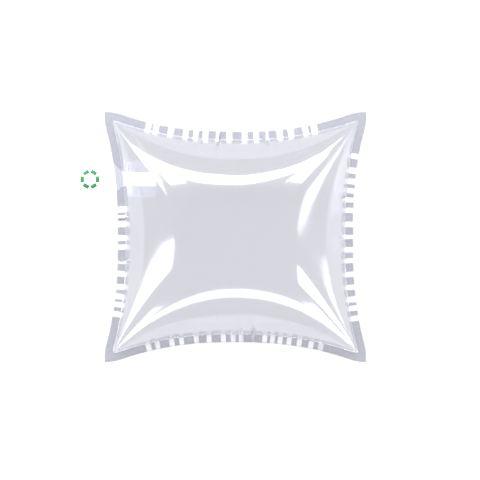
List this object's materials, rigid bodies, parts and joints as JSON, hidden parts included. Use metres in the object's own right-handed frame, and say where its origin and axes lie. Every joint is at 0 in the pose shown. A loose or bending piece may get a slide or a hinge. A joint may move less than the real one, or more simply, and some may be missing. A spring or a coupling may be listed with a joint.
{
  "type": "inflated air cushion bag",
  "caption": "Square one-chamber air bag of clear film, blown up, with crimped welded sides and a film filling valve.",
  "frame": {"origin": "centre of the flat spot that the bag rests on, under the middle of the back film", "axes": "+Z out of the front film, which faces the picture's camera; +X along the bag's width, away from the valve; +Y along its height, towards the corner nearer the valve"},
  "size_m": [0.3179, 0.2742, 0.1304],
  "materials": {
    "clear_film": "clear glossy polyethylene and nylon film, about 0.1 mm",
    "valve_film": "white satin film with a green printed ring on its tab"
  },
  "bodies": {
    "root": {"front_film": "clear_film", "back_film": "clear_film", "valve_front_film": "valve_film", "valve_back_film": "valve_film"}
  },
  "joints": []
}
